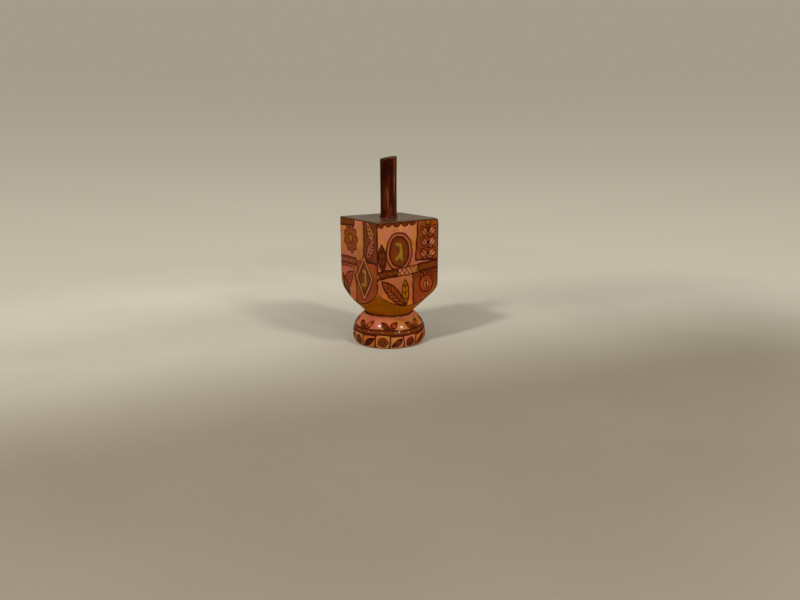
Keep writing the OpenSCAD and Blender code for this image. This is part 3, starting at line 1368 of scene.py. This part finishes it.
@dataclass
class Stem:
    """Grip stem, a stained stick cut off at a slope, in millimetres.

    Attributes:
        room: Room of the stem.
        block: Room of the block, on whose top the lacquer gathers round the stem.
        cut: Slope of the top, in degrees.
        cut_edge: Radius of the cut's soft edge.
        hollow: How far the cut face waves up and down at its edge.
        stained_rim: Width of the stain left round the cut, and that over which the grain fades in.
        slack: How much thinner than its CAD solid the stick is, which leaves room for its wobble.
        wobble: How far the stick is out of round, in two waves and in three.
        steady: Height over the block at which the wobble reaches its full size.
        bead: How far the lacquer stands out at the foot, and how much that varies, twice.
        bead_fade: Height over which the lacquer thins out.
        bead_rows: Heights over the block of the close rows through the lacquer.
        shaft_end: Height over the block at which the even rows end.
        columns: Points in each ring.
        shaft_rows: Rows along the open shaft.
        rub_spots_and_painted_light: Soft spots on the stain, partly rubbed and pooled stain and
            partly painted highlight and
        shade: angle, height over the block, half angle, half height, and how far the stain is
        lightened, or darkened where that is below 0.
    """

    room: Span = room_of("stem")
    block: Span = room_of("block")
    cut: float = 9.5
    cut_edge: float = 0.55
    hollow: float = 0.12
    stained_rim: Point = (0.5, 0.6)
    slack: float = 0.06
    wobble: Point = (0.05, 0.03)
    steady: float = 4.0
    bead: Place = (0.5, 0.2, 0.1)
    bead_fade: float = 0.8
    bead_rows: tuple[float, ...] = (1.8, 1.4, 1.05, 0.75, 0.5, 0.3, 0.15, 0.04)
    shaft_end: float = 2.2
    columns: int = 96
    shaft_rows: int = 74
    rub_spots_and_painted_light: tuple[tuple[float, float, float, float, float], ...] = (
        (222.0, 27.0, 42.0, 5.5, -1.0),
        (233.0, 10.5, 5.0, 5.0, 1.0),
        (225.0, 15.5, 6.0, 6.0, 0.5),
        (282.0, 22.0, 12.0, 15.0, 0.72),
        (176.0, 17.0, 30.0, 19.0, -0.9),
        (252.0, 4.5, 16.0, 2.8, 0.35),
        (38.0, 16.0, 9.0, 9.0, 0.8),
        (108.0, 23.0, 8.0, 7.0, 0.7),
        (332.0, 8.0, 12.0, 5.5, 0.4),
        (70.0, 6.0, 20.0, 5.0, -0.7),
    )

    def rubbed_and_painted_light(self, angle: Array, height: Array) -> Array:
        """Works out how far the stain is lightened or darkened: a sum of a few long soft spots.

        The spots are partly rubbed and pooled stain and partly painted highlight and shade.

        A spot fades as its strength times e^(-(turn/its half angle)^2 - (rise/its half height)^2).

        Args:
            angle: Angle of each column, in radians.
            height: Height of each point.

        Returns:
            The share at each point, from -1 to 1.
        """
        share = np.zeros(height.shape)
        for middle, level, wide, high, strength in self.rub_spots_and_painted_light:
            turn = np.mod(np.degrees(angle) - middle + 180.0, 360.0) - 180.0
            rise = height - self.block.high - level
            share += strength * np.exp(-((turn / wide) ** 2) - (rise / high) ** 2)
        return np.clip(share, -1.0, 1.0)

    def top(self, angle: Array) -> tuple[Array, Array]:
        """Shapes the cut: a slope that rises by r tan(cut) towards +X, with a soft edge.

        Args:
            angle: Angle of each column, in radians.

        Returns:
            The radii and the heights, as (rows, columns).
        """
        radius, edge = self.room.half, self.cut_edge
        soft = np.radians([90, 72, 54, 36, 18, 0])
        flat = np.array([0.12, 0.3, 0.5, 0.68, 0.82]) * (radius - edge)
        out = np.concatenate([flat, radius - edge + edge * np.cos(soft)])[:, None] + 0 * angle
        drop = np.concatenate([0 * flat, edge * (np.sin(soft) - 1)])[:, None]
        slope = math.tan(math.radians(self.cut))
        middle = self.room.high - radius * slope
        hollow = self.hollow * np.sin(2.0 * angle + 1.0) * out / radius
        return out, middle + drop + slope * out * np.cos(angle) + hollow

    def rings(self, angle: Array) -> tuple[Array, Array, int]:
        """Sets even rings between the sloping top and the foot, with the wobble and the lacquer.

        The radius swells by w1 sin(2a + z/7) + w2 sin(3a - z/5), less towards the foot, and by
        (b1 + b2 sin(3a + 1) + b3 sin 7a) e^(-(z - foot)/fade) where the lacquer gathers.

        Args:
            angle: Angle of each column, in radians.

        Returns:
            The radii and the heights, as (rows, columns), and the number of rows on the top.
        """
        half, low, foot = self.room.half, self.room.low, self.block.high
        out, top = self.top(angle)
        down = np.linspace(0.0, 1.0, self.shaft_rows)[1:, None]
        shaft = top[-1] + (foot + self.shaft_end - top[-1]) * down
        bead = [foot + rise for rise in self.bead_rows]
        sunk = [foot + 0.02, foot - 0.4, (foot + low) / 2, low + 0.5, low, low]
        height = np.concatenate([top, shaft, np.array(bead + sunk)[:, None] + 0 * angle])
        radius = np.full(height.shape, half - self.slack)
        radius[: len(top)] = out - self.slack
        radius[-2:] = np.array([[half - 0.4], [half / 2]])
        two, three = self.wobble
        wobble = two * np.sin(2 * angle + height / 7) + three * np.sin(3 * angle - height / 5)
        radius += wobble * np.clip((height - foot) / self.steady, 0.0, 1.0) * radius / half
        even, slow, quick = self.bead
        swell = even + slow * np.sin(3 * angle + 1.0) + quick * np.sin(7 * angle)
        free = slice(len(top), -len(sunk))
        radius[free] += swell * np.exp((foot - height[free]) / self.bead_fade)
        return radius, height, len(top)

    def build(self) -> bpy.types.Object:
        """Builds and stains the stick.

        Returns:
            The finished piece.
        """
        angle = ring_angles(self.columns)
        radius, height, top = self.rings(angle)
        (rim, fade), cut = self.stained_rim, np.zeros(height.shape)
        cut[:top] = np.clip((self.room.half - rim - self.top(angle)[0]) / fade, 0.0, 1.0)
        # The layer of lighter and darker spots: rubbed and pooled stain, and painted highlight and
        # shade
        layers = {"cut": cut, "rub_and_painted_light": self.rubbed_and_painted_light(angle, height)}
        band = np.zeros(len(height), dtype=int)
        points = turned(radius, height, angle)
        piece = ring_surface("stained_stem", points, band, layers, (StainFinish("stem_stain"),))
        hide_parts("stem")
        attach(piece, "dreidel")
        return piece


@dataclass
class SpinningTip:
    """Turned hardwood peg on which it spins, in millimetres.

    Attributes:
        room: Room of the peg with its ball end.
        block: Room of the block, from whose lower end the peg comes out.
        bevel: Bevel of the hidden end.
        groove: Depth of the shallow groove between the nose and the ball.
        neck_rows: Rows through the groove.
        ball_rows: Rows on the ball.
        columns: Points in each ring.
    """

    room: Span = room_of("spinning_tip")
    block: Span = room_of("block")
    bevel: float = 0.4
    groove: float = 0.12
    neck_rows: int = 7
    ball_rows: int = 26
    columns: int = 72

    def build(self) -> bpy.types.Object:
        """Builds the peg: a bevelled end, a straight shank, a groove of depth g sin^2 and a ball.

        Returns:
            The finished piece.
        """
        r, high, mouth = self.room.half, self.room.high, self.block.low
        stops = [(0.6, high), (r - self.bevel, high), (r, high - self.bevel), (r, mouth + 0.15)]
        ball_z = self.room.low + r
        share = np.linspace(0.0, 1.0, self.neck_rows)
        neck_r = r - self.groove * np.sin(share * math.pi) ** 2
        neck = np.stack([neck_r, ball_z + (mouth - ball_z) * (0.98 - 0.96 * share)], axis=1)
        ball = arc((0.0, ball_z), r, 0.0, -86.0, self.ball_rows)
        outline = np.concatenate([stretch(stops, [3, 3, 16]), neck, ball])
        points = turned(outline[:, :1], outline[:, 1:], ring_angles(self.columns))
        wood = BareWood("tip_hardwood", (176, 126, 78), (118, 76, 40), 0.25)
        piece = ring_surface("bare_tip", points, np.zeros(len(points), dtype=int), {}, (wood,))
        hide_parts("spinning_tip")
        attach(piece, "tip")
        return piece


@dataclass
class Stand:
    """Bun-shaped stand turned from one piece, in millimetres.

    Attributes:
        room: Room of the stand.
        belly_z: Height of its greatest width.
        base_r: Radius of the flat underside.
        rim_out: Outer radius of the rim.
        rim_r: Radius of the rim's round.
        slope: Slope of the seat from the axis, in degrees.
        socket: Radius and floor height of the socket.
        ease: Bevel round the socket's floor, and round the underside.
        columns: Points in each ring.
        round_by: Radius by which the painting measures lengths round the stand.
        rim_line: Width of the dark line painted over the rim.
        inner_rows: Rows of the seat that the paint runs over.
        edge_wear: How much the paint is worn on the rim and the foot, and over which width.
    """

    room: Span = room_of("stand")
    belly_z: float = 4.5
    base_r: float = 20.0
    rim_out: float = 14.4
    rim_r: float = 0.5
    slope: float = 45.5
    socket: Point = (8.5, 2.6)
    ease: float = 0.3
    columns: int = 480
    round_by: float = 20.0
    # rim_line: Width of the dark line painted over the rim, partly the rim's dark paint and partly a     painted shadow of the gap where the nose sits in the seat.
    rim_line: float = 1.15
    inner_rows: int = 3
    edge_wear: Point = (0.2, 0.8)

    def bulge(self, inset: float, drop: float, start: float, end: float, count: int) -> Array:
        """Draws an arc that is upright at the belly and runs in by inset over the height drop.

        Its radius is (drop^2 + inset^2) / (2 inset).

        Args:
            inset: How far the whole arc runs in.
            drop: Height over which it does.
            start: Height of its first point, over the belly.
            end: Height of its last point, over the belly.
            count: Number of points.

        Returns:
            The points as (radius, height).
        """
        radius = (drop * drop + inset * inset) / (2 * inset)
        first, last = [math.degrees(math.asin(rise / radius)) for rise in (start, end)]
        return arc((self.room.half - radius, self.belly_z), radius, first, last, count)

    def outline(self) -> tuple[Array, int, int]:
        """Draws the half outline from the socket's floor over the rim to the underside.

        Returns:
            The points as (radius, height), and the numbers of the first painted one and of the
            first one after the paint.
        """
        (bore, floor), ease, half, belly = self.socket, self.ease, self.room.half, self.belly_z
        slope = math.radians(self.slope)
        rim_x, rim_z = self.rim_out - self.rim_r, self.room.high - self.rim_r
        edge = (rim_x - self.rim_r * math.cos(slope), rim_z + self.rim_r * math.sin(slope))
        mouth = edge[1] - (edge[0] - bore) / math.tan(slope)
        stops = [(1.5, floor), (bore - ease, floor), (bore, floor + ease), (bore, mouth - 0.1)]
        inside = stretch(stops, [6, 2, 14])
        seat = stretch([(bore + 0.1, mouth + 0.1), edge], [12])[:-1]
        rim = arc((rim_x, rim_z), self.rim_r, 180.0 - self.slope, 6.0, 12)
        rise = rim_z - belly
        side = self.bulge(half - self.rim_out, rise, rise - 0.08, 0.0, 56)
        foot = self.bulge(half - self.base_r, belly, -0.35, 0.25 - belly, 18)
        under = stretch([(self.base_r - ease, 0.0), (1.5, 0.0)], [14])
        first = len(inside) + len(seat)
        last = first + len(rim) + len(side) + len(foot)
        return np.concatenate([inside, seat, rim, side, foot, under]), first, last

    def build(self) -> bpy.types.Object:
        """Builds and paints the stand.

        Returns:
            The finished piece.
        """
        outline, first, last = self.outline()
        angle = ring_angles(self.columns)
        walked = np.concatenate([[0.0], np.cumsum(np.hypot(*np.diff(outline, axis=0).T))])
        painted = walked[last - 1] - walked[first]
        up = (walked[last - 1] - walked)[:, None] + 0 * angle
        around = (angle + math.pi / 2) * self.round_by + 0 * up
        canvas = Canvas.blank(around, up, Tone.SALMON, 2 * math.pi * self.round_by)
        paint_stand(canvas)
        # Painted shadow: a dark ring over the rim, partly the rim's paint and partly the shadow of
        # the gap under the nose
        canvas.stroke(painted - canvas.up, self.rim_line)
        edge = np.minimum(np.maximum(up, 0.0), np.maximum(painted - up, 0.0))
        wear = rubbed_off(edge, self.edge_wear)
        layers = {"wash": canvas.wash, "ink": canvas.ink, "gilt": canvas.gilt, "wear": wear}
        band = np.ones(len(outline), dtype=int)
        band[first - self.inner_rows : last] = 0
        finishes = PaintFinish("stand_paint", coat=0.18), BareWood("stand_bare_wood")
        points = turned(outline[:, :1], outline[:, 1:], angle)
        piece = ring_surface("painted_stand", points, band, layers, finishes)
        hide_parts("stand")
        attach(piece, "stand")
        return piece


@dataclass(frozen=True)
class Lamp:
    """Soft round lamp that looks at the object.

    Attributes:
        name: Name of the lamp.
        azimuth: Where it stands, in degrees from -Y towards +X.
        elevation: Its height above the horizon, in degrees.
        distance: Metres from the object's middle.
        size: Metres across.
        power: Watts.
        colour: Linear colour of its light.
    """

    name: str
    azimuth: float
    elevation: float
    distance: float
    size: float
    power: float
    colour: Place = (1.0, 0.985, 0.96)

    def build(self, target: Place) -> None:
        """Hangs the lamp.

        Args:
            target: The point at which it looks.
        """
        a, e = math.radians(self.azimuth), math.radians(self.elevation)
        away = Vector((math.sin(a) * math.cos(e), -math.cos(a) * math.cos(e), math.sin(e)))
        light = bpy.data.lights.new(self.name, "AREA")
        light.shape = "DISK"
        light.size = self.size
        light.energy = self.power
        light.color = self.colour
        lamp = put(self.name, light)
        lamp.location = Vector(target) + away * self.distance
        lamp.rotation_euler = away.to_track_quat("Z", "Y").to_euler()


@dataclass
class Studio:
    """Pale floor that fades into a plain backdrop, soft lamps and the camera.

    Attributes:
        lamps: The lamps.
        target: The point at which they look, in metres.
        heading: Direction in which the camera looks, in degrees from +Y towards +X.
        pitch: How far it looks down, in degrees.
        place: Where it stands, in metres.
        lens: Focal length for a 36 mm wide sensor.
        high_tone: Screen colour of the backdrop high up.
        low_tone: Screen colour of the backdrop where it meets the floor.
        front_shade_tone: Screen colour of the cloth in front, darker as painted shade.
        floor_tone: Screen colour of the cloth round the object.
        back_lit_tone: Screen colour of the cloth behind, lighter as painted light.
        tone_rise: Slopes between which the backdrop goes from its high colour to its low one.
        front_run: Way towards the back over which the front's colour gives way to the next.
        back_run: Way over which that one gives way to the colour behind.
        lit_turn: How far to the left of the camera's heading those ways run, in degrees.
        glow_run: Distance from the object over which the cloth turns into the backdrop.
        ambient: Strength of the even light.
        floor_reach: Metres from the object to the floor's edges.
        floor_lines: Number of grid lines on the floor each way.
    """

    lamps: tuple[Lamp, ...] = (
        Lamp("left_lamp", -75.0, 46.0, 0.72, 0.092, 3.6),
        Lamp("right_lamp", 16.0, 38.0, 0.72, 0.11, 2.6),
        Lamp("low_lamp", 1.0, 22.0, 0.8, 0.06, 0.9),
    )
    target: Place = (0.0, 0.0, 0.045)
    heading: float = 33.81
    pitch: float = 14.1
    place: Place = (-0.18545, -0.28854, 0.1097)
    lens: float = 27.045
    high_tone: Screen = (165, 157, 139)
    low_tone: Screen = (198, 190, 171)
    front_shade_tone: Screen = (121, 113, 98)
    floor_tone: Screen = (166, 160, 145)
    back_lit_tone: Screen = (190, 184, 167)
    tone_rise: Point = (-0.12, 0.24)
    front_run: Point = (-0.11, 0.03)
    back_run: Point = (0.03, 0.17)
    lit_turn: float = 20.0
    glow_run: Point = (0.18, 0.4)
    ambient: float = 0.55
    floor_reach: float = 30.0
    floor_lines: int = 61

    def floor(self) -> None:
        """Lays a square floor, far larger than the view, at s = reach sinh(t)/sinh(4) each way."""
        crowd, below = 4.0, 0.00002
        even = np.linspace(-crowd, crowd, self.floor_lines)
        steps = np.sinh(even) / math.sinh(crowd) * self.floor_reach
        x, y = np.meshgrid(steps, steps)
        places = np.stack([x, y, np.full(x.shape, -below)], axis=2).reshape(-1, 3)
        here = np.arange(x.size).reshape(x.shape)
        faces = np.stack([here[:-1, :-1], here[:-1, 1:], here[1:, 1:], here[1:, :-1]], axis=2)
        mesh = bpy.data.meshes.new("floor")
        mesh.from_pydata(places.tolist(), [], faces.reshape(-1, 4).tolist())
        mesh.materials.append(self.floor_material())
        floor = put("floor", mesh)

    def backdrop_tone(self, n: Nodes, away: Value, drop: Value) -> Socket:
        """Mixes the backdrop's colour: brighter low down than high up.

        The share is the slope drop/|away|, which is 0 at the horizon.

        Args:
            n: The nodes of the floor or of the world.
            away: Way from the camera, of which only the level part counts.
            drop: Height of the camera above the point that it sees.

        Returns:
            The colour.
        """
        reach = n.sum("MAXIMUM", n.length(away, (1.0, 1.0, 0.0)), 0.0001)
        share = n.ramp(n.sum("DIVIDE", drop, reach), *self.tone_rise)
        return n.mix(share, linear(self.high_tone), linear(self.low_tone))

    def floor_material(self) -> bpy.types.Material:
        """Mixes a matt pale cloth round the object, with painted shade in front and painted light
        behind, and a backdrop's even glow further off.

        Returns:
            The material.
        """
        n = Nodes.material("floor_cloth")
        turn = math.radians(self.heading - self.lit_turn)
        back = (math.sin(turn), math.cos(turn), 0.0)
        # Painted light and shade: the cloth's colour runs from a shaded tone in front to a lit tone
        # behind
        lit = n.add("VectorMath", n.coordinates, back, operation="DOT_PRODUCT").outputs["Value"]
        tone = n.mix(n.ramp(lit, *self.front_run), linear(self.front_shade_tone), linear(self.floor_tone))
        tone = n.mix(n.ramp(lit, *self.back_run), tone, linear(self.back_lit_tone))
        tone = n.shade(tone, n.noise((14.0, 14.0, 14.0), 3.0), *SWING, 0.975, 1.025)
        tone = n.shade(tone, n.noise((1300.0, 1300.0, 1300.0)), *SWING, 0.97, 1.03)
        matt = n.add("BsdfDiffuse", tone).outputs[0]
        away = n.vector("SUBTRACT", n.coordinates, self.place)
        glow = n.add("Emission", self.backdrop_tone(n, away, self.place[2]), 1.0).outputs[0]
        far = n.ramp(n.length(n.coordinates), *self.glow_run)
        share = n.sum("MULTIPLY", far, n.add("LightPath").outputs["Is Camera Ray"])
        n.add("OutputMaterial", n.add("MixShader", share, matt, glow).outputs[0])
        return n.holder

    def world(self) -> None:
        """Sets the even light, and the backdrop that the camera and glossy surfaces see."""
        world = bpy.data.worlds.new("studio")
        bpy.context.scene.world = world
        n = Nodes(world)
        light = n.add("Background", (1.0, 0.98, 0.95), self.ambient).outputs[0]
        drop = n.sum("MULTIPLY", n.add("SeparateXYZ", n.coordinates).outputs["Z"], -1.0)
        seen = n.add("Background", self.backdrop_tone(n, n.coordinates, drop), 1.0).outputs[0]
        path = n.add("LightPath")
        direct = n.sum("MAXIMUM", path.outputs["Is Camera Ray"], path.outputs["Is Glossy Ray"])
        n.add("OutputWorld", n.add("MixShader", direct, light, seen).outputs[0])

    def camera(self) -> None:
        """Sets up the camera at the photo's viewing angle."""
        data = bpy.data.cameras.new("camera")
        data.sensor_width = 36.0
        data.lens = self.lens
        data.clip_start = 0.01
        data.clip_end = 100.0
        camera = put("camera", data)
        camera.location = self.place
        tilt = math.radians(90.0 - self.pitch)
        camera.rotation_euler = Euler((tilt, 0.0, -math.radians(self.heading)))
        bpy.context.scene.camera = camera

    def build(self) -> None:
        """Builds the whole studio."""
        self.camera()
        self.floor()
        self.world()
        for lamp in self.lamps:
            lamp.build(self.target)
        bpy.context.scene.view_settings.view_transform = "Standard"


def main() -> None:
    """Builds the studio and the four pieces, and notes each piece's size."""
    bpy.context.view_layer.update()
    Studio().build()
    for maker in (Stand(), SpinningTip(), Block(), Stem()):
        piece = maker.build()
        low, high = np.array(piece.bound_box).min(axis=0), np.array(piece.bound_box).max(axis=0)
        wide = ", ".join(f"{size / MM:.1f}" for size in high - low)
        log.info("%s: %d faces, %s mm", piece.name, len(piece.data.polygons), wide)


if __name__ == "__main__":
    main()
